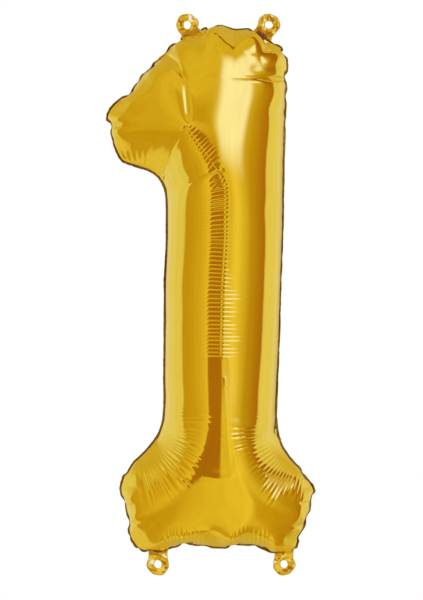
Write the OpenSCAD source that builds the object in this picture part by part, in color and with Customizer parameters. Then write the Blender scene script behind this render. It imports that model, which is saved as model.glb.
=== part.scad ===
// Foil number balloon in the shape of the digit one, blown up through a valve.
// Two foil panels are heat sealed round one outline, with four punched hang
// tabs and a flat valve sleeve inside. The digit stands along Z, its front
// faces -Y, and the origin is the centre of its overall box.
// Film is modelled thicker than the real film, so that it has a solid.

/* [Overall size] */
// Height over the hang tabs
overall_h = 421; // [400:1:480]
// Width from the flag's tip to the base's right corner
overall_w = 156; // [150:1:170]
// Depth through the fully inflated stem
body_depth = 92; // [70:1:110]

/* [Digit] */
// Width of the upright stem at its lower end
stem_w = 86.5; // [80:0.5:92]
// How much wider the stem is at its top
stem_flare = 8.5; // [4:0.5:12]
// Height of the base block up to its shoulders
base_h = 51.5; // [44:0.5:60]
// How far the base's left side stands in from the flag's tip
base_inset = 9; // [4:0.5:14]
// Height of the flag's tip below the crown
flag_drop = 68.5; // [62:0.5:74]
// Height of the flag's blunt end
flag_end = 24; // [18:0.5:28]

/* [Film] */
// Thickness of one film, a stand-in for about 0.03 mm
film_t = 0.3; // [0.2:0.05:0.4]
// Wall of an inflated panel, a stand-in for the same film
panel_t = 0.6; // [0.4:0.1:1.2]
// Width of the sealed flange round the outline
flange_w = 1.5; // [1:0.1:3]

/* [Hang tabs] */
// Radius of a tab's round lobe
lobe_r = 8.25; // [7:0.25:9]
// Width of a tab where it joins the flange
neck_w = 12.5; // [10:0.5:13]
// Diameter of the punched hole
hole_d = 6; // [4:0.5:7]
// Distance between the two lower holes
lower_pitch = 94.5; // [80:0.5:100]

/* [Valve] */
// Width of the flat valve sleeve
valve_w = 14; // [10:1:18]
// Length of the sleeve inside the body
valve_l = 80; // [50:1:100]

/* [Hidden] */

foil_gold = [0.83, 0.62, 0.16];
foil_shade = [0.70, 0.50, 0.12];
valve_clear = [0.86, 0.84, 0.78];

// Space left between a tab or the sleeve and the film that it folds on
fold_gap = 0.3;
seal_t = 2 * film_t;
hole_z = overall_h / 2 - lobe_r;
crown_z = overall_h / 2 - 9.5;
floor_z = -overall_h / 2 + 18;
left_x = -overall_w / 2;
right_x = overall_w / 2;
stem_x = 6.75;
stem_left = stem_x - stem_w / 2;
stem_right = stem_x + stem_w / 2;
shoulder_z = floor_z + base_h;
flag_z = crown_z - flag_drop;

// Corner circles of the flange's outer edge, anticlockwise from the crown's
// left: centre x, centre z, radius. A negative radius is an inner corner.
crown_left = [stem_x - 2, crown_z - 50, 50];
flag_top = [left_x + 8, flag_z, 8];
flag_low = [left_x + 18, flag_z - flag_end, 12];
armpit = [stem_left - 16, flag_z - flag_end - 33, -18];
base_neck_left = [stem_left - 25, shoulder_z + 47, -25];
base_left = [left_x + base_inset + 10, shoulder_z, 10];
foot_left = [left_x + base_inset + 18, floor_z + 9, 9];
foot_right = [right_x - 17, floor_z + 9, 9];
base_right = [right_x - 10, shoulder_z - 5, 10];
base_neck_right = [stem_right + 22, shoulder_z + 43, -22];
crown_right = [stem_right + stem_flare - 38, crown_z - 38, 38];
corners = [
    crown_left,
    flag_top,
    flag_low,
    armpit,
    base_neck_left,
    base_left,
    foot_left,
    foot_right,
    base_right,
    base_neck_right,
    crown_right
];

function wrap(a, lo) = a - 360 * floor((a - lo) / 360);

// Direction of the outward normal on the straight run from circle a to b
function run_normal(a, b) =
    let (v = [b.x - a.x, b.y - a.y])
    atan2(v.y, v.x) - acos((a.z - b.z) / norm(v));

// Points round one corner, from the run before it to the run after it
function corner_arc(before, here, after, step) =
    let (from = run_normal(before, here))
    let (to = run_normal(here, after))
    let (sweep = here.z > 0 ? wrap(to - from, 0) : wrap(to - from, -360))
    let (n = max(2, ceil(abs(sweep) / step)))
    [for (i = [0 : n]) let (a = from + sweep * i / n)
        [here.x + here.z * cos(a), here.y + here.z * sin(a)]];

// The whole outline, moved in from the flange's outer edge
function outline(inset, step = 9) =
    let (c = [for (k = corners) [k.x, k.y, k.z - inset]])
    let (n = len(c))
    [for (i = [0 : n - 1])
        each corner_arc(c[(i + n - 1) % n], c[i], c[(i + 1) % n], step)];

function to_segment(p, a, b) =
    let (ab = b - a)
    let (t = min(1, max(0, (p - a) * ab / (ab * ab))))
    norm(p - a - t * ab);

function to_edge(p, loop) =
    let (n = len(loop))
    min([for (i = [0 : n - 1]) to_segment(p, loop[i], loop[(i + 1) % n])]);

// Left and right ends of the body at one height
function row_span(z, loop) =
    let (n = len(loop))
    let (xs = [for (i = [0 : n - 1])
        let (a = loop[i])
        let (b = loop[(i + 1) % n])
        if ((a.y > z) != (b.y > z))
            a.x + (z - a.y) * (b.x - a.x) / (b.y - a.y)])
    [min(xs), max(xs)];

// Inflated height of a panel at a distance in from the seam
full_r = stem_w / 2 + 4;
function bulge(d, half) =
    let (q = min(1, max(0, d / full_r)))
    half * sqrt(q * (2 - q));

panel_cols = 16;
seam = outline(flange_w);
seam_top = crown_z - flange_w - 0.01;
seam_low = floor_z + flange_w + 0.01;

// Heights of the rows of panel points, closer together where the outline
// turns: each band is its upper end and its number of rows
flag_under = flag_z - flag_end - 25;
row_bands = [
    [seam_low + 12, 6],
    [shoulder_z + 10, 8],
    [flag_under, 22],
    [flag_z - flag_end + 2, 11],
    [seam_top - 16, 12],
    [seam_top, 8]
];
row_zs = [
    seam_low,
    for (b = [0 : len(row_bands) - 1])
        let (lo = b == 0 ? seam_low : row_bands[b - 1][0])
        let (n = row_bands[b][1])
        for (i = [1 : n]) lo + (row_bands[b][0] - lo) * i / n
];
panel_rows = len(row_zs) - 1;

function row_points(z) =
    let (span = row_span(z, seam))
    [for (j = [0 : panel_cols])
        [span[0] + (span[1] - span[0]) * (1 - cos(180 * j / panel_cols)) / 2, z]];

function on_seam(i, j) =
    i == 0 || i == panel_rows || j == 0 || j == panel_cols;

// One foil panel blown up away from the seal plane, on the -Y side
module foil_panel() {
    cols = panel_cols + 1;
    count = (panel_rows + 1) * cols;
    flat = [for (z = row_zs) each row_points(z)];
    depth = [for (k = [0 : count - 1])
        on_seam(floor(k / cols), k % cols) ? 0 : to_edge(flat[k], seam)];
    outer = [for (k = [0 : count - 1])
        [flat[k].x, -film_t - bulge(depth[k], body_depth / 2 - film_t), flat[k].y]];
    inner = [for (k = [0 : count - 1])
        [flat[k].x,
            -film_t - bulge(depth[k] - panel_t, body_depth / 2 - film_t - panel_t),
            flat[k].y]];
    // The seam's points are shared, so the two skins close on each other
    function in_id(i, j) = i * cols + j + (on_seam(i, j) ? 0 : count);
    function out_id(i, j) = i * cols + j;
    faces = [for (i = [0 : panel_rows - 1], j = [0 : panel_cols - 1])
        each [
            [out_id(i, j), out_id(i + 1, j), out_id(i + 1, j + 1)],
            [out_id(i, j), out_id(i + 1, j + 1), out_id(i, j + 1)],
            [in_id(i, j), in_id(i + 1, j + 1), in_id(i + 1, j)],
            [in_id(i, j), in_id(i, j + 1), in_id(i + 1, j + 1)]
        ]];
    real = [for (f = faces) if (!(max(f) < count && flat_corner(f, cols))) f];
    polyhedron(concat(outer, inner), real, convexity = 6);
}

// True where all three points lie on the seam, which leaves no panel between
function flat_corner(f, cols) =
    on_seam(floor(f[0] / cols), f[0] % cols)
    && on_seam(floor(f[1] / cols), f[1] % cols)
    && on_seam(floor(f[2] / cols), f[2] % cols);

// A plate in the seal plane, drawn in x and z and centred on y = 0
module flat_plate(t) {
    rotate([90, 0, 0])
        linear_extrude(t, center = true)
            children();
}

// A tab that leans at an angle from its root, up along its own +Z
module hang_tab(root, angle, reach) {
    translate([root.x, 0, root.y])
        rotate([0, 90 - angle, 0])
            difference() {
                union() {
                    translate([0, 0, reach])
                        rotate([90, 0, 0])
                            cylinder(h = seal_t, r = lobe_r, center = true, $fn = 64);
                    translate([-neck_w / 2, -seal_t / 2, 0])
                        cube([neck_w, seal_t, reach]);
                }
                translate([0, 0, reach])
                    rotate([90, 0, 0])
                        cylinder(h = 4 * seal_t, d = hole_d, center = true, $fn = 48);
                translate([-overall_w / 2, -seal_t, -overall_h])
                    cube([overall_w, 2 * seal_t, overall_h]);
            }
}

function on_circle(c, r, angle) = [c.x + r * cos(angle), c.y + r * sin(angle)];

top_left_angle = 113;
top_right_angle = 59;
function crown_reach(c, angle) = (hole_z - c.y) / sin(angle) - c.z - fold_gap;

module crown_tab(c, angle) {
    hang_tab(on_circle(c, c.z + fold_gap, angle), angle, crown_reach(c, angle));
}

lower_reach = hole_z + floor_z - fold_gap;
lower_mid_x = 8.25;

module lower_tab(side) {
    hang_tab([lower_mid_x + side * lower_pitch / 2, floor_z - fold_gap], -90, lower_reach);
}

valve_angle = 57;
valve_root_in = flange_w + 2;

// One film of the sleeve, in front of the seal plane or behind it
module valve_film(side) {
    root = on_circle(crown_right, crown_right.z - valve_root_in, valve_angle);
    translate([root.x, side * film_t / 2, root.y])
        rotate([0, 90 - valve_angle, 0])
            translate([-valve_w / 2, -film_t / 2, -valve_l])
                cube([valve_w, film_t, valve_l]);
}

module front_panel() {
    color(foil_gold) foil_panel();
}

module back_panel() {
    color(foil_gold) mirror([0, 1, 0]) foil_panel();
}

module rim_seal() {
    lap = 1;
    color(foil_shade)
        flat_plate(seal_t)
            difference() {
                polygon(outline(0));
                polygon(outline(flange_w + lap));
            }
}

module hang_tab_top_left() {
    color(foil_shade) crown_tab(crown_left, top_left_angle);
}

module hang_tab_top_right() {
    color(foil_shade) crown_tab(crown_right, top_right_angle);
}

module hang_tab_bottom_left() {
    color(foil_shade) lower_tab(-1);
}

module hang_tab_bottom_right() {
    color(foil_shade) lower_tab(1);
}

module valve_front_film() {
    color(valve_clear) valve_film(-1);
}

module valve_back_film() {
    color(valve_clear) valve_film(1);
}

front_panel();
back_panel();
rim_seal();
hang_tab_top_left();
hang_tab_top_right();
hang_tab_bottom_left();
hang_tab_bottom_right();
valve_front_film();
valve_back_film();
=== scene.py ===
import math
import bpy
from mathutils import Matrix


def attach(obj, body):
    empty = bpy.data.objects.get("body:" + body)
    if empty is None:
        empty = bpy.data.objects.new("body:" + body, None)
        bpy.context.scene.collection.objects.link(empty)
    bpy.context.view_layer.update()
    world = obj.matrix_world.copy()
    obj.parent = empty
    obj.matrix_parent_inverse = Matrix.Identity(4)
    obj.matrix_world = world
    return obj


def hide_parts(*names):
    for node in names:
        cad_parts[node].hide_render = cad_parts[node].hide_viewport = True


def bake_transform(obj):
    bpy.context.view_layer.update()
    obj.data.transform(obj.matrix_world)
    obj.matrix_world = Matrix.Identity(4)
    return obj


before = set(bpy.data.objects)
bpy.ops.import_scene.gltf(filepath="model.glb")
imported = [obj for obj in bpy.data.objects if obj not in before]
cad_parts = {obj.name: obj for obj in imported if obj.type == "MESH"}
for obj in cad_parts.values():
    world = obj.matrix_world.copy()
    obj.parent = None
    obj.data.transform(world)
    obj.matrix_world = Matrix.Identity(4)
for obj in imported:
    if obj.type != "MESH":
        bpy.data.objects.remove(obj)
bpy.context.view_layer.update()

from types import SimpleNamespace

import bpy
import numpy as np
from mathutils import Vector
from mathutils.geometry import delaunay_2d_cdt

MM = 0.001

# The flat cut of one foil: corner circles x, z, radius in mm, anticlockwise
# from the crown's left. A negative radius is a concave corner.
CUT = [
    (-6, 177, 45), (-74, 148, 18), (-72.5, 121, 18), (-86, 76.5, -25),
    (-108.5, -91, -48), (-63.5, -150, 18), (-50.5, -190.5, 18), (6.5, -174, 40),
    (64, -189, 18), (75, -150, 18), (125, -91, -48), (31, 173, 44),
]
# Mesh spacing, and the welded edge's width and how far the seam lies in from the finished edge,
# in mm.
MESH_STEP = 4.55
SEAL_WIDTH = 1.2
SEAL_INSET = 0.9
FRONT, BACK, SEAL = 0, 1, 2
CORNER_STEPS = 12
# Row spacing of a triangular grid, in steps, and how far its points may move.
ROW_SPACING, JITTER = 0.866, 0.15


# ---------------------------------------------------------------- flat cut

def run_normal(a, b):
    """Direction of the outward normal on the straight run from circle a to b."""
    dx, dz = b[0] - a[0], b[1] - a[1]
    return math.atan2(dz, dx) - math.acos((a[2] - b[2]) / math.hypot(dx, dz))


def cut_outline():
    """The cut's edge as a polygon."""
    points = []
    for i, (x, z, r) in enumerate(CUT):
        start = run_normal(CUT[i - 1], CUT[i])
        turn = run_normal(CUT[i], CUT[(i + 1) % len(CUT)]) - start
        turn = (turn + math.pi) % (2 * math.pi) - math.pi
        for k in range(CORNER_STEPS + 1):
            angle = start + turn * k / CORNER_STEPS
            points.append((x + r * math.cos(angle), z + r * math.sin(angle)))
    return np.array(points)


def evenly(polygon, step):
    """Points about step apart along a closed polygon."""
    closed = np.vstack([polygon, polygon[:1]])
    along = np.concatenate([[0], np.cumsum(np.linalg.norm(np.diff(closed, axis=0), axis=1))])
    at = np.linspace(0, along[-1], int(round(along[-1] / step)), endpoint=False)
    return np.stack([np.interp(at, along, closed[:, k]) for k in (0, 1)], 1)


def inside(polygon, points):
    """Which points lie inside a closed polygon."""
    x, z = points.T
    odd = np.zeros(len(points), bool)
    for (x0, z0), (x1, z1) in zip(polygon, np.roll(polygon, -1, 0)):
        if z0 != z1:
            odd ^= ((z0 > z) != (z1 > z)) & (x < x0 + (z - z0) * (x1 - x0) / (z1 - z0))
    return odd


def path_distance(points, path, closed=False):
    """Distance to a polyline, length along it, and 1 or -1 for its left or right."""
    ends = np.roll(path, -1, 0) if closed else path[1:]
    best = np.full(len(points), 1e9)
    along, side = np.zeros(len(points)), np.zeros(len(points))
    start = 0.0
    for a, b in zip(path, ends):
        run = b - a
        length = np.hypot(*run)
        rel = points - a
        t = np.clip(rel @ run / length ** 2, 0, 1)
        d = np.linalg.norm(rel - t[:, None] * run, axis=1)
        near = d < best
        best[near] = d[near]
        along[near] = start + t[near] * length
        side[near] = np.sign(run[0] * rel[near, 1] - run[1] * rel[near, 0])
        start += length
    return best, along, side


def path_length(path):
    """Length of a polyline."""
    return np.linalg.norm(np.diff(path, axis=0), axis=1).sum()


def runs(line):
    """From the point before to the point after, at each point of a closed line."""
    return np.roll(line, -1, 0) - np.roll(line, 1, 0)


def outward(run):
    """Unit normals to the right of each run, which is outward on an outline."""
    return np.stack([run[:, 1], -run[:, 0]], 1) / np.linalg.norm(run, axis=1)[:, None]


def axes(degrees):
    """Unit vectors along a direction in the x, z plane, and across it."""
    angle = math.radians(degrees)
    along = np.array([math.cos(angle), math.sin(angle)])
    across = np.array([math.sin(angle), -math.cos(angle)])
    return along, across


def triangulate(rings, inner, keep):
    """Delaunay triangles over rings of edge points and inner points."""
    points = np.vstack(rings + [inner])
    edges, first = [], 0
    for ring in rings:
        n = len(ring)
        edges += [(first + i, first + (i + 1) % n) for i in range(n)]
        first += n
    found = delaunay_2d_cdt([Vector(p) for p in points], edges, [], 0, 1e-6)
    points = np.array([tuple(p) for p in found[0]])
    faces = np.array([f for f in found[2] if len(f) == 3])
    faces = faces[keep(points[faces].mean(1))]
    a, b, c = (points[faces[:, k]] for k in range(3))
    turn = (b[:, 0] - a[:, 0]) * (c[:, 1] - a[:, 1]) - (b[:, 1] - a[:, 1]) * (c[:, 0] - a[:, 0])
    faces[turn < 0] = faces[turn < 0][:, ::-1]
    return points, faces


def jittered_grid(low, high, step, seed):
    """Points of a triangular grid, each moved a little."""
    rows = np.arange(low[1], high[1], step * ROW_SPACING)
    columns = np.arange(low[0], high[0], step)
    x, z = np.meshgrid(columns, rows)
    x[1::2] += step / 2
    grid = np.stack([x.ravel(), z.ravel()], 1)
    return grid + np.random.default_rng(seed).uniform(-JITTER, JITTER, grid.shape) * step


def flat_balloon():
    """Both foils and the welded edge, flat: shared seam points, then each
    foil's inner points, then the seal's outer edge."""
    seam = evenly(cut_outline(), MESH_STEP)
    n = len(seam)
    grid = jittered_grid(seam.min(0), seam.max(0), MESH_STEP, 3)
    grid = grid[inside(seam, grid)]
    grid = grid[path_distance(grid, seam, closed=True)[0] > 0.6 * MESH_STEP]
    points, faces = triangulate([seam], grid, lambda p: inside(seam, p))
    m = len(points) - n
    plan = np.vstack([points, points[n:], seam + SEAL_WIDTH * outward(runs(seam))])
    flat = np.stack([plan[:, 0], np.zeros(len(plan)), plan[:, 1]], 1)
    behind = np.where(faces < n, faces, faces + m)[:, ::-1]
    ring = np.arange(n)
    after = (ring + 1) % n
    outer = n + 2 * m
    seal = np.vstack([
        np.stack([ring, outer + ring, outer + after], 1),
        np.stack([ring, outer + after, after], 1),
    ])
    start = flat.copy()
    start[n:n + m, 1], start[n + m:n + 2 * m, 1] = -0.3, 0.3
    return SimpleNamespace(
        flat=flat, at=start, faces=np.vstack([faces, behind, seal]),
        part=np.repeat([FRONT, BACK, SEAL], [len(faces), len(behind), len(seal)]),
        rings=[ring, outer + ring],
    )


# ------------------------------------------------------------- simulation

# Cloth settings for stiff thin film, at ten times life size.
CLOTH = {
    "quality": 8, "mass": 0.3, "air_damping": 3, "bending_model": "ANGULAR",
    "tension_stiffness": 200, "compression_stiffness": 0.5, "shear_stiffness": 20,
    "bending_stiffness": 1.0, "bending_damping": 0.5,
    "tension_damping": 5, "compression_damping": 5, "shear_damping": 5,
    "use_pressure": True, "uniform_pressure_force": 10,
}
FRAMES = 50
RELAX_ROUNDS = 260


def mesh_object(name, points, faces):
    """An object from numpy points in metres and triangle indices."""
    mesh = bpy.data.meshes.new(name)
    mesh.vertices.add(len(points))
    mesh.vertices.foreach_set("co", np.asarray(points, np.float32).ravel())
    mesh.loops.add(faces.size)
    mesh.loops.foreach_set("vertex_index", faces.astype(np.int32).ravel())
    mesh.polygons.add(len(faces))
    mesh.polygons.foreach_set("loop_start", np.arange(0, faces.size, 3, dtype=np.int32))
    mesh.polygons.foreach_set("use_smooth", np.ones(len(faces), bool))
    mesh.update(calc_edges=True)
    mesh.validate()
    obj = bpy.data.objects.new(name, mesh)
    bpy.context.scene.collection.objects.link(obj)
    return obj


def inflate(film):
    """Blows the flat cut out with Blender's Cloth. It is simulated ten times
    life size, where the solver is stable."""
    scale = 10 * MM
    seal = film.faces[film.part == SEAL]
    obj = mesh_object("inflating", film.at * scale, np.vstack([film.faces, seal[:, ::-1]]))
    cloth = obj.modifiers.new("cloth", "CLOTH")
    for setting, value in CLOTH.items():
        setattr(cloth.settings, setting, value)
    cloth.settings.effector_weights.gravity = 0
    cloth.collision_settings.use_collision = False
    cloth.collision_settings.use_self_collision = False
    cloth.point_cache.frame_start, cloth.point_cache.frame_end = 1, FRAMES
    scene = bpy.context.scene
    scene.frame_start, scene.frame_end = 1, FRAMES
    for frame_number in range(1, FRAMES + 1):
        scene.frame_set(frame_number)
    shape = obj.evaluated_get(bpy.context.evaluated_depsgraph_get())
    points = np.empty(len(film.at) * 3)
    shape.data.vertices.foreach_get("co", points)
    bpy.data.objects.remove(obj)
    scene.frame_set(1)
    film.at = points.reshape(-1, 3) / scale


def gather(count, index, values):
    """Adds 3-D values up at the points that index names."""
    return np.stack([np.bincount(index, values[:, k], count) for k in range(3)], 1)


def links_of(film):
    """The mesh's edges a to b, their ends in one list, and edges at each point."""
    faces, count = film.faces, len(film.at)
    pairs = np.vstack([faces[:, [0, 1]], faces[:, [1, 2]], faces[:, [2, 0]]])
    a, b = np.unique(np.sort(pairs, 1), axis=0).T
    ends = np.concatenate([a, b])
    degree = np.bincount(ends, minlength=count)[:, None].astype(float)
    return SimpleNamespace(a=a, b=b, ends=ends, degree=degree)


def evening(values, links):
    """From each point's value to the mean of its neighbours'."""
    around = np.vstack([values[links.b], values[links.a]])
    return gather(len(values), links.ends, around) / links.degree - values


def relax(film, rounds, push=0.0002, bend=0.05, carry=0.9, pull=2.8):
    """Lets the film find its wrinkles: pressure against lengths that keep
    their flat size, with a little bending stiffness. Points carry most of
    their speed on, and pull is more than 1 because moves are averaged."""
    count = len(film.at)
    links = links_of(film)
    a, b = links.a, links.b
    rest = np.linalg.norm(film.flat[a] - film.flat[b], axis=1)
    skin = film.faces[film.part != SEAL]
    now, before = film.at, film.at.copy()
    for _ in range(rounds):
        speed = (now - before) * carry
        before = now.copy()
        p, q, r = (now[skin[:, k]] for k in range(3))
        area = gather(count, skin.ravel(), np.repeat(np.cross(q - p, r - p), 3, axis=0))
        size = np.linalg.norm(area, axis=1)
        now = now + speed + push * area / size[size > 0].mean()
        for _ in range(3):
            gap = now[b] - now[a]
            length = np.linalg.norm(gap, axis=1)
            move = (0.5 * (length - rest) / length)[:, None] * gap
            now = now + pull * gather(count, links.ends, np.vstack([move, -move])) / links.degree
        now = now - bend * evening(evening(now, links), links)
    film.at = now


def fair(film, rounds, inner, outer):
    """Evens the foils out, fully where they are more than outer mm from the
    seam and not at all within inner mm."""
    links = links_of(film)
    seam = film.flat[film.rings[0]][:, [0, 2]]
    free = ease(path_distance(film.flat[:, [0, 2]], seam, closed=True)[0], inner, outer)
    for ring in film.rings:
        free[ring] = 0
    for _ in range(rounds):
        film.at = film.at + 0.5 * free[:, None] * evening(film.at, links)


def normals_by_part(film):
    """A unit normal for each point and part, at index 3 * point + part."""
    p, q, r = (film.at[film.faces[:, k]] for k in range(3))
    facing = np.repeat(np.cross(q - p, r - p), 3, axis=0)
    total = gather(3 * len(film.at), (3 * film.faces + film.part[:, None]).ravel(), facing)
    return total / np.maximum(np.linalg.norm(total, axis=1), 1e-12)[:, None]


# -------------------------------------------------------- splitting the mesh

def bowed_middles(film, a, b, part):
    """The middle of each edge from a to b, on the curve that its normals make."""
    normal = normals_by_part(film)
    na, nb = normal[3 * a + part], normal[3 * b + part]
    run = film.at[b] - film.at[a]
    bow = (run * na).sum(1)[:, None] * na - (run * nb).sum(1)[:, None] * nb
    return (film.at[a] + film.at[b]) / 2 - bow / 8


def split(film, chosen):
    """Splits the chosen triangles in four, and their neighbours to match."""
    count = len(film.at)
    sides = np.stack([film.faces, np.roll(film.faces, -1, 1)], 2)
    keys = sides.min(2) * count + sides.max(2)
    unique, first, inverse = np.unique(keys.ravel(), return_index=True, return_inverse=True)
    inverse = inverse.reshape(-1, 3)
    cut = np.zeros(len(unique), bool)
    cut[inverse[chosen].ravel()] = True
    number = np.full(len(unique), -1)
    number[cut] = count + np.arange(cut.sum())
    a, b = (unique // count)[cut], (unique % count)[cut]
    middle = bowed_middles(film, a, b, film.part[first[cut] // 3])
    rings = []
    for ring in film.rings:
        after = np.roll(ring, -1)
        edge = np.searchsorted(unique, np.minimum(ring, after) * count + np.maximum(ring, after))
        on = cut[edge]
        middle[number[edge[on]] - count] = ring_middles(film.at[ring])[on]
        rings.append(np.stack([ring, np.where(on, number[edge], -1)], 1).ravel())
    film.rings = [ring[ring >= 0] for ring in rings]
    faces, parts = split_faces(film, number[inverse])
    film.flat = np.vstack([film.flat, (film.flat[a] + film.flat[b]) / 2])
    film.at = np.vstack([film.at, middle])
    film.faces, film.part = faces, parts


def ring_middles(line):
    """Points half way along each step of a smooth closed line."""
    near = 9 * (line + np.roll(line, -1, 0))
    return (near - np.roll(line, 1, 0) - np.roll(line, -2, 0)) / 16


# Triangles made from corners v and new points m, by how many sides are cut.
SPLITS = {
    0: [("v0", "v1", "v2")],
    1: [("v0", "m0", "v2"), ("m0", "v1", "v2")],
    2: [("v0", "m0", "v2"), ("m0", "v1", "m1"), ("m0", "m1", "v2")],
    3: [("v0", "m0", "m2"), ("m0", "v1", "m1"), ("m2", "m1", "v2"), ("m0", "m1", "m2")],
}


def split_faces(film, mid):
    """The triangles made from each one and the new points on its sides."""
    count = (mid >= 0).sum(1)
    order = np.zeros(len(mid), int)
    order[count == 1] = np.argmax(mid[count == 1] >= 0, 1)
    order[count == 2] = (np.argmax(mid[count == 2] < 0, 1) + 1) % 3
    turn = (order[:, None] + np.arange(3)) % 3
    from_name = {
        "v": np.take_along_axis(film.faces, turn, 1),
        "m": np.take_along_axis(mid, turn, 1),
    }
    faces, parts = [], []
    for sides, made in SPLITS.items():
        rows = count == sides
        for triangle in made:
            faces.append(np.stack([from_name[c[0]][rows, int(c[1])] for c in triangle], 1))
            parts.append(film.part[rows])
    return np.vstack(faces), np.concatenate(parts)


# ------------------------------------------------------------ finished edge

# The balloon's edge as it hangs, anticlockwise from the top left tab, in mm.
EDGE = [
    (-5.5, 197.5), (-21.5, 192), (-29, 186.5), (-33, 181.5), (-35, 179), (-40.5, 175),
    (-49, 166.5), (-55.5, 158), (-59.5, 151), (-64.5, 149), (-71, 144.5), (-76, 138.5),
    (-77.5, 134), (-76.5, 128.5), (-73, 126), (-74.5, 124), (-74.5, 118.5), (-72, 111),
    (-68.5, 103.5), (-66, 98.5), (-62, 98), (-54, 95), (-45, 92.5), (-37.5, 86), (-33.5, 76.5),
    (-33, 63.5), (-33, 39.5), (-34.5, 11), (-34.5, -19), (-35, -64), (-34.5, -79), (-36, -96),
    (-40.5, -107), (-49, -117.5), (-58, -126), (-64.5, -135.5), (-67.5, -143), (-67, -150.5),
    (-64, -157), (-62, -161.5), (-62, -167), (-60.5, -171), (-61.5, -176.5), (-60, -182),
    (-55.5, -190), (-50.5, -192), (-41, -193), (-32, -192), (-24.5, -188), (-17, -187),
    (-7.5, -188.5), (2, -190), (13, -190), (19, -188), (26, -187.5), (35.5, -189), (43, -192.5),
    (49, -194.5), (60, -194), (64.5, -190), (66.5, -182), (69.5, -177.5), (71, -174),
    (72, -169), (74, -163.5), (75.5, -160), (75, -156), (78, -151.5), (78, -146.5),
    (76.5, -142), (71, -134.5), (62, -124), (54.5, -114), (51, -101.5), (50, -88.5), (51, -64),
    (52.5, -26.5), (53.5, 11), (55, 48.5), (55.5, 77), (56, 104.5), (57, 142), (57.5, 158),
    (55.5, 161), (58, 166.5), (59, 170), (57, 176), (56, 181.5), (53.5, 185), (49, 188),
    (46, 189.5), (30, 199), (22.5, 199.5), (19, 198), (15, 200), (9.5, 202), (4, 202),
    (-2, 200),
]
# Where a fold of the seam gathers the edge: x, z, inward direction in degrees,
# half width and how far in it reaches.
PINCHES = [
    (-34, 180, -50, 2.6, 8), (-73, 126, 0, 2.6, 6), (18.5, 198, -90, 1.8, 6),
    (56, 161, 180, 1.8, 8), (-60, -171, 0, 1.6, 4), (-63, -158, 0, 1.6, 3),
    (75, -156, 180, 1.6, 3), (71, -173, 180, 1.6, 4),
]


def soften(ring, width):
    """Averages values along a closed ring; width is in ring points."""
    reach = int(3 * width) + 1
    steps = np.arange(-reach, reach + 1)
    weights = np.exp(-0.5 * (steps / width) ** 2)
    weights /= weights.sum()
    return sum(w * np.roll(ring, k, axis=0) for w, k in zip(weights, steps))


def fit_edge(film, reaches):
    """Leads the seam smoothly to its finished edge. Each pass evens the shift
    out over less of the seam and of the foil beside it."""
    edge = evenly(np.array(EDGE, float), 1.0)
    edge = edge - SEAL_INSET * outward(soften(runs(edge), 2))
    ring = film.rings[0]
    for reach in reaches:
        line = film.at[ring][:, [0, 2]]
        spacing = np.linalg.norm(np.diff(line, axis=0), axis=1).mean()
        gaps = np.linalg.norm(line[:, None] - edge, axis=2)
        shift = soften(edge[gaps.argmin(1)] - line, reach / spacing)
        every = max(1, int(reach / spacing / 2))
        knots, moves = line[::every], soften(shift, max(1, every / 2))[::every]
        for start in range(0, len(film.at), 8000):
            rows = slice(start, start + 8000)
            away2 = ((film.at[rows][:, None, [0, 2]] - knots) ** 2).sum(2)
            pull = np.exp(-away2 / (1.6 * reach) ** 2) + 1e-9
            fade = np.exp(-away2.min(1) / (4.5 * reach) ** 2)
            film.at[rows, 0::2] += fade[:, None] * (pull @ moves) / pull.sum(1)[:, None]


def pinch(film):
    """Draws front and back together at the folds of the seam."""
    plan = film.at[:, [0, 2]]
    squeeze = np.zeros(len(plan))
    for x, z, direction, half, reach in PINCHES:
        way = axes(direction)[0]
        rel = plan - (x, z)
        inward, across = rel @ way, rel @ np.array([-way[1], way[0]])
        near = (inward > -6) & (inward < 40)
        fade = np.abs(across / half) ** 1.5 + np.clip(inward, 0, None) / reach
        squeeze += 0.4 * near * np.exp(-fade)
    film.at[:, 1] *= 1 - np.clip(squeeze, 0, 0.5)


def spread_seal(film):
    """Lays the welded edge straight out from the seam, a little wavy."""
    seam, outer = film.rings
    line = film.at[seam]
    out = outward(soften(runs(line), 2)[:, [0, 2]])
    along = np.arange(len(seam))
    width = SEAL_WIDTH * (1 + 0.12 * waves(along, 91, 5))
    film.at[outer] = line
    film.at[outer, 0::2] += width[:, None] * out
    film.at[outer, 1] += 0.35 * waves(along, 92, 4)


# --------------------------------------------------- folds and fine wrinkles

# Lines across the foil, as x, z in mm on the inflated balloon.
LADDER = np.array([(-17.5, 124), (-7.5, 110), (4, 95), (12, 81), (12, 41), (9.5, 3), (8.5, -51)])
LADDER_LENGTH = path_length(LADDER)
FLAG_FOLD = np.array([(-34, 181), (-25, 173), (-19, 160), (-16.5, 131), (-15.5, 125)])
CROWN_FOLD = np.array([(59, 160.5), (42, 160.5), (30, 161), (4, 161.5)])
TOP_FOLD = np.array([(18.5, 199), (18, 192), (19, 182)])
TIP_FOLD = np.array([(-75, 127), (-68, 127), (-62, 128)])
ARMPIT_FOLDS = [
    np.array([(-18, 124), (-28, 108), (-36, 86)]),
    np.array([(9, 92), (-12, 84), (-34, 74)]),
]
STEM_FOLDS = [
    np.array([(14, -48), (15.5, -90), (19.5, -129)]),
    np.array([(11, -62), (12.5, -100), (14.5, -127)]),
]
LEDGE = np.array([(-4, -134.5), (4, -136), (12, -136), (19, -134)])
# Creases that spread from a concave corner: x, z, 1 or -1 to face right or left,
# first and last angle, inner and outer radius, degrees apart, height.
FANS = [
    (-61.5, -94, 1, -88, 20, 33, 50, 3.7, 0.42),
    (78, -98, -1, -88, 20, 33, 50, 3.7, 0.44),
    (-52.5, 75.5, 1, 40, 122, 17, 26, 9.0, 0.40),
]
# Short creases along the base's two arches: middle x and z, half width.
ARCHES = [(-19, -189, 15), (28, -189, 15)]
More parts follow.
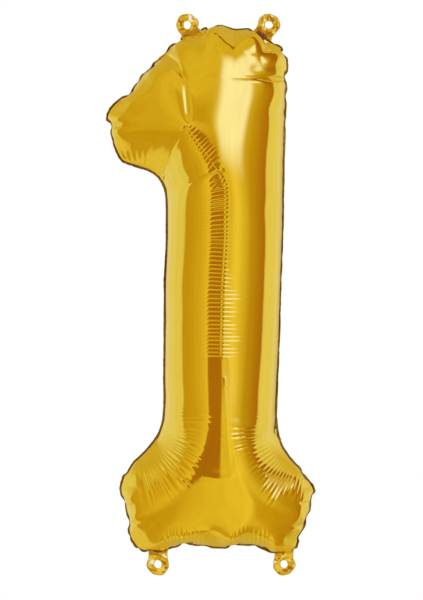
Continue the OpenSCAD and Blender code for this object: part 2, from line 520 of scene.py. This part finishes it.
# Distance between the creases in mm.
LADDER_PITCH, HEM_PITCH = 3.1, 3.0
# How many values the seeded rows below hold before they repeat.
WAVE_KNOTS, RIB_COUNT = 512, 256
FULL_TURN = 6.28


def waves(values, seed, scale):
    """Smooth seeded noise from -1 to 1 along one line."""
    rng = np.random.default_rng(seed)
    knots = rng.uniform(-1, 1, WAVE_KNOTS)
    t = np.asarray(values) / scale + 200
    i = np.floor(t).astype(int) % (WAVE_KNOTS - 1)
    f = t - np.floor(t)
    f = f * f * (3 - 2 * f)
    return knots[i] * (1 - f) + knots[i + 1] * f


def ribs(turns, seed, skew=0.0):
    """A row of little ridges, each with a height and reach of its own. Skew
    makes their rising sides steeper."""
    rng = np.random.default_rng(seed)
    height, reach = rng.uniform(0.45, 1, RIB_COUNT), rng.uniform(0, 1, RIB_COUNT)
    k = np.round(turns).astype(int) % RIB_COUNT
    angle = 2 * math.pi * turns
    return height[k] * np.sin(angle + skew * np.sin(angle)), reach[k]


def ease(x, low, high):
    """0 up to low and 1 from high on, with a smooth step between."""
    t = np.clip((x - low) / (high - low), 0, 1)
    return t * t * (3 - 2 * t)


def ladder(plan, seed):
    """The row of short creases across the middle of the stem. They reach far
    to the left below the flag, and to the right at both ends. The line runs
    down, so its left as seen from the front is where side is negative."""
    away, along, side = path_distance(plan, LADDER)
    on_left = side < 0
    slant = 0.18 * (1 - ease(along, 50, 110))
    turns = (along + slant * side * away) / LADDER_PITCH + 0.35 * waves(along, seed, 14)
    wave, reach = ribs(turns, seed + 1, 0.4)
    core = 4.5 + 8.5 * ease(along, 30, 62)
    tail = 1.4 * core + 14 * reach ** 3 * ease(along, 30, 62)
    near, far = 1 - ease(away, 0.7 * core, 1.2 * core), 1 - ease(away, 0.5 * tail, tail)
    left = 0.78 * near + 0.22 * far
    low, high = ease(along, 105, 135), 1 - ease(along, 26, 40)
    span = 6 + 3 * reach + 9 * low * (0.3 + 0.7 * reach)
    right = (0.30 + np.maximum(low, high)) * np.clip(1 - away / span, 0, 1) ** 1.2
    ends = ease(along, -1, 4) * (1 - ease(along, LADDER_LENGTH - 10, LADDER_LENGTH - 1))
    spine = 0.08 * np.exp(-away / 1.4) * ends
    knots = 0.15 * (1 - np.cos(2 * math.pi * turns)) * np.exp(-(away / 0.9) ** 2) * ends
    creases = 0.165 * wave * np.where(on_left, left, right) * ends
    return creases + spine - knots * np.where(on_left, 1, 0.5)


def polar(plan, x, z, side):
    """Radius and angle in degrees about x, z, mirrored where side is -1."""
    rel = (plan - (x, z)) * (side, 1)
    return np.hypot(*rel.T), np.degrees(np.arctan2(rel[:, 1], rel[:, 0]))


def fan(plan, shape, seed):
    """Creases that spread from a concave corner."""
    x, z, side, first, last, inner, outer, pitch, height = shape
    radius, angle = polar(plan, x, z, side)
    turns = angle / pitch + 0.8 * waves(angle, seed, 2.2 * pitch)
    wave, reach = ribs(turns, seed + 1)
    middle = ease(angle, first, first + 24) * (1 - ease(angle, last - 30, last))
    outer = outer + 17 * reach
    fade = ease(radius, inner, inner + 13) * (1 - ease(radius, outer - 9, outer + 5))
    return height * wave * fade * middle


def hem(plan, x, z, half, seed, way=1):
    """Short upright creases above an arch of the bottom edge, or with way -1
    below the top edge."""
    across = (plan[:, 0] - x) / half
    up = way * (plan[:, 1] - z) - 3 * (1 - across ** 2)
    wave, reach = ribs(plan[:, 0] / HEM_PITCH + 0.4 * waves(plan[:, 0], seed, 8), seed + 1)
    fade = ease(up, -2, 3) * (1 - ease(up, 5 + 4 * reach, 12 + 6 * reach))
    return 0.28 * wave * fade * (1 - ease(np.abs(across), 0.75, 1.1))


def fold(plan, path, depth, width, fade_in=0.0, fade_out=12.0):
    """A valley along a line, or a ridge where depth is negative. It runs out
    over the last fade_out mm."""
    away, along, _ = path_distance(plan, path)
    length = path_length(path)
    ends = (1 - ease(along, length - fade_out, length + 1)) * ease(along, -fade_in - 1, 0)
    return -depth * np.exp(-np.abs(away / width) ** 1.4) * ends


def shimmer(plan, seed):
    """Very low, wide unevenness of a taut foil."""
    x, z = plan.T
    total = np.zeros(len(plan))
    rng = np.random.default_rng(seed)
    for wavelength in (70, 41, 26, 17):
        for _ in range(3):
            angle, phase = rng.uniform(0, math.pi), rng.uniform(0, FULL_TURN)
            across = x * math.cos(angle) + z * math.sin(angle)
            total += wavelength ** 1.5 * np.sin(across * FULL_TURN / wavelength + phase)
    return total * 0.00002


def front_relief(plan):
    """Height of the front's folds and creases in mm."""
    relief = ladder(plan, 11) + shimmer(plan, 5)
    for k, shape in enumerate(FANS):
        relief += fan(plan, shape, 21 + 4 * k)
    relief += hem(plan, *ARCHES[0], 31) + hem(plan, *ARCHES[1], 33)
    relief += 0.8 * hem(plan, -14, 199, 22, 35, way=-1) + 0.7 * hem(plan, 50, 193, 9, 37, way=-1)
    relief += fold(plan, FLAG_FOLD, 1.3, 2.3) + fold(plan, CROWN_FOLD, 0.5, 1.2, fade_out=44)
    relief += fold(plan, TOP_FOLD, 0.8, 1.2) + fold(plan, TIP_FOLD, 0.8, 1.4)
    relief += fold(plan, LEDGE, -0.5, 1.6, fade_in=3, fade_out=5)
    for path in ARMPIT_FOLDS:
        relief += fold(plan, path, 0.5, 0.9, fade_out=3)
    for path in STEM_FOLDS:
        relief += fold(plan, path, -0.12, 0.9, fade_in=14, fade_out=4)
    return relief


def back_relief(plan):
    """The same for the back, with creases of its own in the same places."""
    mirrored = plan * (-1, 1) + (14, 0)
    relief = ladder(mirrored, 51) * 0.8 + shimmer(plan, 6)
    for k, shape in enumerate(FANS):
        relief += fan(plan, shape, 61 + 4 * k)
    relief += hem(plan, *ARCHES[0], 71) + hem(plan, *ARCHES[1], 73)
    relief += fold(plan, FLAG_FOLD, 1.3, 3.0) + fold(plan, CROWN_FOLD, 0.8, 2.0, fade_out=30)
    return relief


def busy(film):
    """The triangles where the front's wrinkles need a finer mesh."""
    middle = film.at[film.faces].mean(1)[:, [0, 2]]
    away, along, side = path_distance(middle, LADDER)
    near = away < np.where(side < 0, 15, 8 + 8 * ease(along, 100, 130))
    for x, z, side, first, last, inner, outer, _, _ in FANS:
        radius, angle = polar(middle, x, z, side)
        beside = (radius > inner + 5) & (radius < outer + 12)
        near |= beside & (angle > first + 4) & (angle < last - 4)
    near |= (middle[:, 1] < -180) & (np.abs(middle[:, 0] - 4.5) < 40)
    near |= path_distance(middle, FLAG_FOLD)[0] < 4
    near |= path_distance(middle, CROWN_FOLD[:3])[0] < 3
    return near & (film.part == FRONT)


def wrinkle(film):
    """Moves each foil's inner points along their normals."""
    normal = normals_by_part(film)
    fixed = np.zeros(len(film.at), bool)
    for ring in film.rings:
        fixed[ring] = True
    moved = film.at.copy()
    for part, relief in ((FRONT, front_relief), (BACK, back_relief)):
        used = np.unique(film.faces[film.part == part])
        used = used[~fixed[used]]
        plan = film.at[used][:, [0, 2]]
        edge = path_distance(plan, film.at[film.rings[0]][:, [0, 2]], closed=True)[0]
        height = relief(plan) * ease(edge, 0, 2)
        moved[used] += height[:, None] * normal[3 * used + part]
    film.at = moved


def blown_balloon():
    """The balloon's foils and seal, blown out and creased."""
    film = flat_balloon()
    inflate(film)
    everything = slice(None)
    split(film, everything)
    relax(film, RELAX_ROUNDS)
    fair(film, 34, 3, 12)
    fit_edge(film, (10, 5))
    split(film, everything)
    fair(film, 2, 0, 1)
    fit_edge(film, (2.2,))
    pinch(film)
    spread_seal(film)
    split(film, busy(film))
    wrinkle(film)
    return film


# -------------------------------------------------------------- materials

def noise(tree, scale, detail, stretch=(1, 1, 1)):
    """A noise texture in the piece's own coordinates."""
    place = tree.nodes.new("ShaderNodeTexCoord")
    mapping = tree.nodes.new("ShaderNodeMapping")
    mapping.inputs["Scale"].default_value = stretch
    texture = tree.nodes.new("ShaderNodeTexNoise")
    texture.inputs["Scale"].default_value = scale
    texture.inputs["Detail"].default_value = detail
    tree.links.new(place.outputs["Object"], mapping.inputs["Vector"])
    tree.links.new(mapping.outputs["Vector"], texture.inputs["Vector"])
    return texture.outputs["Fac"]


def ramp(tree, factor, stops):
    """A colour ramp through stops of position and colour."""
    node = tree.nodes.new("ShaderNodeValToRGB")
    elements = node.color_ramp.elements
    while len(elements) < len(stops):
        elements.new(0.5)
    for element, (position, colour) in zip(elements, stops):
        element.position = position
        element.color = (*colour, 1)
    tree.links.new(factor, node.inputs["Fac"])
    return node.outputs["Color"]


def spread(tree, factor, low, high):
    """A factor's 0 to 1 as low to high."""
    node = tree.nodes.new("ShaderNodeMapRange")
    node.inputs["To Min"].default_value = low
    node.inputs["To Max"].default_value = high
    tree.links.new(factor, node.inputs["Value"])
    return node.outputs["Result"]


def bump(tree, factor, strength, distance):
    """A surface's normal where a factor is its height."""
    node = tree.nodes.new("ShaderNodeBump")
    node.inputs["Strength"].default_value = strength
    node.inputs["Distance"].default_value = distance
    tree.links.new(factor, node.inputs["Height"])
    return node.outputs["Normal"]


def uneven(name, colours, colour_noise, roughness, roughness_noise):
    """A material whose colour and roughness each vary between two values. The
    noises are scale and detail."""
    material = bpy.data.materials.new(name)
    material.use_nodes = True
    tree = material.node_tree
    shader = tree.nodes["Principled BSDF"]
    dark, light = colours
    colour = ramp(tree, noise(tree, *colour_noise), [(0.3, dark), (0.7, light)])
    tree.links.new(colour, shader.inputs["Base Color"])
    rough = spread(tree, noise(tree, *roughness_noise), *roughness)
    tree.links.new(rough, shader.inputs["Roughness"])
    return material, tree, shader


def foil(name, base, shade, roughness, grain):
    """Metallised film: vapour-coated metal under a clear coat."""
    material, tree, shader = uneven(name, (shade, base), (22, 3), roughness, (60, 4))
    normal = bump(tree, noise(tree, 900, 2, (1, 1, 0.35)), grain, 0.1 * MM)
    tree.links.new(normal, shader.inputs["Normal"])
    shader.inputs["Metallic"].default_value = 1
    shader.inputs["Coat Weight"].default_value = 0.25
    shader.inputs["Coat Roughness"].default_value = 0.05
    return material


def clear_film(name):
    """The valve's thin milky polyethylene."""
    colours = (0.80, 0.78, 0.70), (0.92, 0.90, 0.84)
    material, tree, shader = uneven(name, colours, (90, 3), (0.18, 0.32), (300, 2))
    normal = bump(tree, noise(tree, 400, 3, (1, 1, 0.3)), 0.3, 0.2 * MM)
    tree.links.new(normal, shader.inputs["Normal"])
    shader.inputs["Transmission Weight"].default_value = 0.5
    return material


# ----------------------------------------------------------- surroundings

# What the foil mirrors, by direction in degrees from the camera, right positive.
AROUND = [
    (-180, (0.45, 0.36, 0.12)), (-150, (0.78, 0.74, 0.55)), (-93, (0.75, 0.70, 0.48)),
    (-91, (0.54, 0.34, 0.03)), (-60, (0.60, 0.42, 0.05)), (-45, (0.68, 0.51, 0.09)),
    (-32, (0.79, 0.62, 0.17)), (0, (0.58, 0.40, 0.04)), (4, (0.71, 0.57, 0.12)),
    (14, (0.73, 0.58, 0.12)), (26, (0.85, 0.71, 0.24)), (38, (0.73, 0.58, 0.13)),
    (56, (0.52, 0.35, 0.03)), (90, (0.41, 0.17, 0.02)), (93, (0.76, 0.72, 0.52)),
    (140, (0.78, 0.74, 0.55)), (165, (0.50, 0.40, 0.12)), (180, (0.45, 0.36, 0.12)),
]
ABOVE = [
    (-180, (0.60, 0.46, 0.10)), (-100, (0.62, 0.49, 0.13)), (-88, (0.60, 0.44, 0.06)),
    (-40, (0.70, 0.55, 0.12)), (60, (0.66, 0.50, 0.09)), (68, (0.38, 0.17, 0.01)),
    (92, (0.34, 0.14, 0.01)), (96, (0.66, 0.54, 0.18)), (180, (0.60, 0.46, 0.10)),
]
UNDER = [
    (-180, (0.56, 0.44, 0.12)), (-140, (0.76, 0.64, 0.27)), (-93, (0.72, 0.62, 0.28)),
    (-88, (0.55, 0.35, 0.03)), (-38, (0.57, 0.38, 0.03)), (-18, (0.70, 0.54, 0.10)),
    (0, (0.74, 0.58, 0.12)), (29, (0.83, 0.67, 0.19)), (32, (0.58, 0.38, 0.03)),
    (88, (0.46, 0.25, 0.02)), (93, (0.70, 0.61, 0.30)), (180, (0.56, 0.44, 0.12)),
]
LOW = [
    (-180, (0.60, 0.47, 0.11)), (-125, (0.76, 0.64, 0.26)), (-100, (0.74, 0.61, 0.24)),
    (-85, (0.56, 0.38, 0.04)), (-45, (0.58, 0.40, 0.05)), (-20, (0.72, 0.56, 0.12)),
    (25, (0.80, 0.64, 0.17)), (40, (0.56, 0.37, 0.04)), (85, (0.48, 0.29, 0.03)),
    (120, (0.64, 0.51, 0.14)), (180, (0.60, 0.47, 0.11)),
]
# The others, and the heights in radians between which each takes over.
HEIGHTS = [(ABOVE, 0.16, 0.56), (UNDER, -0.25, -0.5), (LOW, -0.6, -0.9)]
WHITE = (1.0, 1.0, 1.0)
STRIP, PATCH, BOX = (0.40, 0.175, 0.02), (0.56, 0.38, 0.03), (0.98, 1.04, 2.7)
# Where they are: from and to in degrees around, the softness of these edges in
# full turns, from and to in radians up, and the softness of these.
STRIP_AREA = ((-31, 2), 0.004, (-0.38, 0.14), 0.05)
PATCH_AREA = ((-34, -1), 0.02, (0.34, 0.52), 0.04)
BOX_AREA = ((8, 44), 0.014, (0.13, 0.66), 0.11)
CORNER_AREA = ((38, 60), 0.01, (0.50, 0.68), 0.03)
# Streaks per full turn and per radian up, and how far they dim and brighten.
STREAKS_AROUND, STREAKS_UP = 55, 3
STREAK_RANGE = (0.86, 1.14)
# Sockets of a Mix node that mixes colours.
MIX_A, MIX_B, MIX_RESULT = 6, 7, 2


def math_node(tree, operation, *values, clamp=False):
    """A Math node of values that are sockets or numbers."""
    node = tree.nodes.new("ShaderNodeMath")
    node.operation, node.use_clamp = operation, clamp
    for socket, value in zip(node.inputs, values):
        if isinstance(value, (int, float)):
            socket.default_value = value
        else:
            tree.links.new(value, socket)
    return node.outputs[0]


def mix(tree, under, over, factor):
    """A colour mixed over another; the one over may be a fixed colour."""
    node = tree.nodes.new("ShaderNodeMix")
    node.data_type = "RGBA"
    tree.links.new(factor, node.inputs["Factor"])
    tree.links.new(under, node.inputs[MIX_A])
    if isinstance(over, tuple):
        node.inputs[MIX_B].default_value = (*over, 1)
    else:
        tree.links.new(over, node.inputs[MIX_B])
    return node.outputs[MIX_RESULT]


def step_up(tree, value, low, high):
    """0 where the value is at low and 1 at high, with a smooth step between."""
    node = tree.nodes.new("ShaderNodeMapRange")
    node.interpolation_type = "SMOOTHSTEP"
    node.inputs["From Min"].default_value = low
    node.inputs["From Max"].default_value = high
    tree.links.new(value, node.inputs["Value"])
    return node.outputs["Result"]


def band(tree, value, low, high, soft):
    """1 from low to high and 0 outside, with soft edges."""
    rise = step_up(tree, value, low - soft, low + soft)
    fall = step_up(tree, value, high + soft, high - soft)
    return math_node(tree, "MULTIPLY", rise, fall)


def part_turn(degrees):
    """Degrees from the camera as the surroundings' own 0 to 1."""
    return 0.5 + degrees / 360


def area(tree, turn, lift, limits):
    """1 inside an area of the surroundings and 0 outside."""
    (left, right), turn_soft, (low, high), lift_soft = limits
    across = band(tree, turn, part_turn(left), part_turn(right), turn_soft)
    return math_node(tree, "MULTIPLY", across, band(tree, lift, low, high, lift_soft))


def by_turn(tree, turn, stops):
    """Colours by direction round the balloon."""
    return ramp(tree, turn, [(part_turn(degrees), colour) for degrees, colour in stops])


def directions(tree):
    """A ray's direction as a part of a full turn, where 0.5 points at the
    camera, and its height in radians."""
    place = tree.nodes.new("ShaderNodeTexCoord")
    parts = tree.nodes.new("ShaderNodeSeparateXYZ")
    tree.links.new(place.outputs["Generated"], parts.inputs["Vector"])
    x, y, z = parts.outputs
    turn = math_node(tree, "ARCTAN2", x, math_node(tree, "MULTIPLY", y, -1))
    turn = math_node(tree, "MULTIPLY_ADD", turn, 0.5 / math.pi, 0.5)
    return turn, math_node(tree, "ARCSINE", z)


def streaked(tree, sky, turn, lift):
    """The colours a little dimmer or brighter in upright streaks."""
    place = tree.nodes.new("ShaderNodeCombineXYZ")
    tree.links.new(math_node(tree, "MULTIPLY", turn, STREAKS_AROUND), place.inputs["X"])
    tree.links.new(math_node(tree, "MULTIPLY", lift, STREAKS_UP), place.inputs["Y"])
    streaks = tree.nodes.new("ShaderNodeTexNoise")
    streaks.inputs["Scale"].default_value = 1
    tree.links.new(place.outputs["Vector"], streaks.inputs["Vector"])
    dim = tree.nodes.new("ShaderNodeVectorMath")
    dim.operation = "SCALE"
    tree.links.new(sky, dim.inputs["Vector"])
    tree.links.new(spread(tree, streaks.outputs["Fac"], *STREAK_RANGE), dim.inputs["Scale"])
    return dim.outputs["Vector"]


def studio():
    """The surroundings that the foil mirrors: a warm room, a soft box in front
    to the right, a dark strip and a darker patch. The camera and matt surfaces
    see plain white instead."""
    world = bpy.data.worlds.new("studio")
    bpy.context.scene.world = world
    world.use_nodes = True
    tree = world.node_tree
    tree.nodes.clear()
    turn, lift = directions(tree)
    sky = by_turn(tree, turn, AROUND)
    for stops, start, end in HEIGHTS:
        sky = mix(tree, sky, by_turn(tree, turn, stops), step_up(tree, lift, start, end))
    sky = mix(tree, sky, STRIP, area(tree, turn, lift, STRIP_AREA))
    sky = mix(tree, sky, PATCH, area(tree, turn, lift, PATCH_AREA))
    box, corner = (area(tree, turn, lift, limits) for limits in (BOX_AREA, CORNER_AREA))
    sky = mix(tree, sky, BOX, math_node(tree, "MAXIMUM", box, corner))
    sky = streaked(tree, sky, turn, lift)
    ray = tree.nodes.new("ShaderNodeLightPath")
    plain = [ray.outputs["Is Camera Ray"], ray.outputs["Is Diffuse Ray"]]
    seen = mix(tree, sky, WHITE, math_node(tree, "ADD", *plain, clamp=True))
    background = tree.nodes.new("ShaderNodeBackground")
    tree.links.new(seen, background.inputs["Color"])
    out = tree.nodes.new("ShaderNodeOutputWorld")
    tree.links.new(background.outputs["Background"], out.inputs["Surface"])


# ----------------------------------------------------------------- pieces

# Hang tabs: body, node, hole x, z, outward direction in degrees, length from
# the hole's centre back to the fold, and a seed for the crumples.
TABS = [
    ("top_left_tab", "hang_tab_top_left", -17.0, 202.25, 113, 5.4, 81),
    ("top_right_tab", "hang_tab_top_right", 44.1, 202.25, 59, 7.5, 82),
    ("bottom_left_tab", "hang_tab_bottom_left", -39.0, -202.25, 270, 9.5, 83),
    ("bottom_right_tab", "hang_tab_bottom_right", 55.5, -202.25, 270, 9.5, 84),
]
# Radius of a tab's lobe and hole, half its width at the neck and at the root,
# and how far it goes in under the seam.
LOBE, HOLE, NECK, ROOT, TAIL = 8.4, 2.9, 7.0, 8.2, 4.0
TAB_STEP = 0.8
# Wavelength and height in mm of a tab's crumples.
CRUMPLES = [(13, 0.42), (8.5, 0.26), (5.6, 0.14), (3.4, 0.05)]

VALVE_ROOT = (39.3, 191.9)
VALVE_DIRECTION = 237
VALVE_WIDTH, VALVE_LENGTH = 14.0, 80.0
VALVE_COLUMNS, VALVE_ROWS = 13, 60
# The part of the films' length that the seam takes.
VALVE_WELD = 0.024
MOUTH_MIDDLE, MOUTH_DIRECTION = (38.5, 194.4), 59
MOUTH_COLUMNS, MOUTH_ROWS = 15, 9


def upright(plan, y):
    """3-D points from x, z and a separate y."""
    return np.stack([plan[:, 0], y, plan[:, 1]], 1)


def grid_faces(rows, columns):
    """Triangles over the points of a grid, given row by row."""
    index = np.arange(rows * columns).reshape(rows, columns)
    a, b = index[:-1, :-1].ravel(), index[:-1, 1:].ravel()
    c, d = index[1:, 1:].ravel(), index[1:, :-1].ravel()
    return np.vstack([np.stack([a, b, c], 1), np.stack([a, c, d], 1)])


def foil_piece(name, node, film, part, material, body):
    """One part of the blown film as a piece of its own."""
    faces = film.faces[film.part == part]
    used, inverse = np.unique(faces, return_inverse=True)
    obj = mesh_object(name, film.at[used] * MM, inverse.reshape(-1, 3))
    obj.data.materials.append(material)
    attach(obj, body)
    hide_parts(node)
    return obj


def cut_round(angle, radius, ripples, rng):
    """Points round a circle, a little uneven as cut film is. The ripples are
    size and number of waves."""
    wobble = sum((size * np.sin(n * angle + rng.uniform(0, 6)) for size, n in ripples), 1)
    return np.stack([np.cos(angle), np.sin(angle)], 1) * (radius * wobble)[:, None]


def tab_mesh(reach, seed):
    """A flat tab with its hole's centre at 0 and its fold at -reach."""
    rng = np.random.default_rng(seed)
    low = math.degrees(math.asin(min(0.6, 0.5 * reach / LOBE)))
    top = np.radians(np.linspace(-low, 180 + low, 34))
    lobe = cut_round(top, LOBE, [(0.03, 3), (0.02, 7)], rng)
    neck, base = -reach * 0.85, -reach - TAIL
    sides = [(-NECK, neck), (-ROOT, base), (ROOT, base), (NECK, neck)]
    outline = evenly(np.vstack([lobe, sides]), 0.9)
    hole = cut_round(np.radians(np.arange(0, 360, 18)), HOLE, [(0.06, 2), (0.04, 5)], rng)

    def on_film(points):
        return inside(outline, points) & ~inside(hole, points)

    grid = jittered_grid(outline.min(0), outline.max(0), TAB_STEP, seed)
    grid = grid[on_film(grid)]
    edges = [path_distance(grid, ring, closed=True)[0] for ring in (outline, hole)]
    return triangulate([outline, hole], grid[np.minimum(*edges) > 0.45], on_film)


def crumple(points, seed):
    """Facets of crushed film: folded waves in several directions."""
    rng = np.random.default_rng(seed)
    height = np.zeros(len(points))
    for wavelength, size in CRUMPLES:
        for _ in range(2):
            angle, phase = rng.uniform(0, math.pi), rng.uniform(0, 1)
            t = (points @ (math.cos(angle), math.sin(angle))) / wavelength + phase
            height += size * (np.abs(t % 1 - 0.5) * 4 - 1)
    return height


def tab_piece(body, node, x, z, direction, reach, seed, material, film):
    """A crumpled hang tab, blended from its body into the foil at its root,
    which lies where the seam is."""
    points, faces = tab_mesh(reach, seed)
    up = points[:, 1]
    along, across = axes(direction)
    root = np.array([x, z]) - reach * along
    seam = film.at[film.rings[0]]
    beside = np.linalg.norm(seam[:, [0, 2]] - root, axis=1) < ROOT
    lean = seam[beside, 1].mean() * (1 - ease(up, -reach, 0))
    height = 0.3 + lean + crumple(points, seed) * ease(up, -reach, -reach + 5)
    plan = np.array([x, z]) + points[:, :1] * across + points[:, 1:] * along
    obj = mesh_object(node.replace("hang_", "") + "_foil", upright(plan, height) * MM, faces)
    solid = obj.modifiers.new("plies", "SOLIDIFY")
    solid.thickness, solid.offset = 0.3 * MM, 0
    obj.data.materials.append(material)
    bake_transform(obj)
    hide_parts(node)


def valve_piece(node, side, seed, material):
    """One film of the sleeve that hangs inside the balloon."""
    columns = np.linspace(-0.5, 0.5, VALVE_COLUMNS)
    u, v = np.meshgrid(columns, np.linspace(VALVE_WELD, 1, VALVE_ROWS))
    u, v = u.ravel(), v.ravel()
    billow = 0.35 + 0.5 * np.cos(math.pi * u) * np.sin(math.pi * v) ** 0.5
    ripple = 0.12 * np.sin(v * 37 + seed) * np.cos(math.pi * u)
    along, across = axes(VALVE_DIRECTION)
    beside, down = (u * VALVE_WIDTH)[:, None] * across, (v * VALVE_LENGTH)[:, None] * along
    place = upright(np.array(VALVE_ROOT) + beside + down, side * (billow + ripple))
    obj = mesh_object(node + "_sheet", place * MM, grid_faces(VALVE_ROWS, VALVE_COLUMNS))
    obj.data.materials.append(material)
    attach(obj, "valve_sleeve")
    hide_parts(node)


def valve_mouth_shadow(material):
    """A dark foil sheet set back in the unsealed gap between the plies, at the right tab's root:
    painted shadow for the inside of the gap.
    """
    along, across = axes(MOUTH_DIRECTION)
    u, v = np.meshgrid(np.linspace(-1, 1, MOUTH_COLUMNS), np.linspace(-1, 1, MOUTH_ROWS))
    u, v = u.ravel(), v.ravel()
    beside = (u * 4.3 * (1 - 0.06 * v ** 2))[:, None] * across
    up = (v * 2.1 * (1 - 0.08 * u ** 2))[:, None] * along
    depth = -2.6 + 0.35 * (u ** 2 + v ** 2) + 0.12 * np.sin(9 * u + 2 * v)
    place = upright(np.array(MOUTH_MIDDLE) + beside + up, depth)
    obj = mesh_object("valve_mouth_shadow", place * MM, grid_faces(MOUTH_ROWS, MOUTH_COLUMNS))
    obj.data.materials.append(material)
    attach(obj, "balloon_body")


# ------------------------------------------------------------------ stage

VIEW_DISTANCE = 3.0
# The view's height in metres at the balloon, its sensor's in mm, and how far it
# is moved right and up, as parts of its height.
VIEW_HEIGHT = 0.45
SENSOR = 24
VIEW_SHIFT = (1.5 / 600, -5.5 / 600)
FLOOR_RADIUS, FLOOR_HEIGHT, FLOOR_SIDES = 4, -0.9, 96


def camera():
    """A long view straight from the front."""
    data = bpy.data.cameras.new("camera")
    obj = bpy.data.objects.new("camera", data)
    bpy.context.scene.collection.objects.link(obj)
    data.sensor_fit, data.sensor_height = "VERTICAL", SENSOR
    data.lens = SENSOR * VIEW_DISTANCE / VIEW_HEIGHT
    data.shift_x, data.shift_y = VIEW_SHIFT
    obj.location = (0, -VIEW_DISTANCE, 0)
    obj.rotation_euler = (math.pi / 2, 0, 0)
    bpy.context.scene.camera = obj


def floor():
    """A round pale floor far below, that the foil doesn't mirror."""
    turn = np.linspace(0, 2 * math.pi, FLOOR_SIDES + 1)[:-1]
    plan = FLOOR_RADIUS * np.stack([np.cos(turn), np.sin(turn)], 1)
    points = np.vstack([(0, 0), plan])
    points = np.column_stack([points, np.full(len(points), FLOOR_HEIGHT)])
    ring = np.arange(FLOOR_SIDES)
    after = (ring + 1) % FLOOR_SIDES
    obj = mesh_object("floor", points, np.stack([0 * ring, 1 + ring, 1 + after], 1))
    colours = (0.84, 0.84, 0.83), (0.88, 0.88, 0.87)
    material, _, shader = uneven("pale_floor", colours, (3, 4), (0.7, 0.8), (9, 3))
    shader.inputs["Emission Color"].default_value = (*WHITE, 1)
    shader.inputs["Emission Strength"].default_value = 0.3
    obj.data.materials.append(material)
    obj.visible_glossy = False


# ------------------------------------------------------------------ scene

camera()
bpy.context.scene.view_settings.view_transform = "Standard"
studio()
floor()

gold = foil("gold_foil", (1.0, 0.775, 0.10), (0.985, 0.745, 0.085), (0.07, 0.12), 0.05)
# A paler copy of the gold foil for the tabs: the paler tint is a painted highlight, and the
# rougher, bumpier finish is the crumpled film's own.
tab_gold_painted_highlight = foil("sealed_foil", (1.0, 0.85, 0.25), (0.94, 0.74, 0.14), (0.10, 0.20), 0.25)
# The welded edge is a real band of the same film. Its brown, darker copy of the gold foil is
# painted shade for the dark line along the outline.
seal_gold_painted_shade = foil("seal_edge_foil_painted_shade", (0.40, 0.27, 0.05), (0.20, 0.12, 0.02), (0.22, 0.34), 0.1)
# A dark copy of the gold foil: painted shadow inside the valve's open mouth.
valve_shadow_gold = foil("valve_shadow_foil", (0.34, 0.12, 0.02), (0.24, 0.08, 0.01), (0.3, 0.4), 0.3)
milky = clear_film("valve_film")

balloon = blown_balloon()
front = foil_piece("front_foil", "front_panel", balloon, FRONT, gold, "balloon_body")
back = foil_piece("back_foil", "back_panel", balloon, BACK, gold, "balloon_body")
seal = foil_piece("seal_edge", "rim_seal", balloon, SEAL, seal_gold_painted_shade, "balloon_body")
for tab in TABS:
    tab_piece(*tab, tab_gold_painted_highlight, balloon)
valve_piece("valve_front_film", -1, 1, milky)
valve_piece("valve_back_film", 1, 2, milky)
valve_mouth_shadow(valve_shadow_gold)
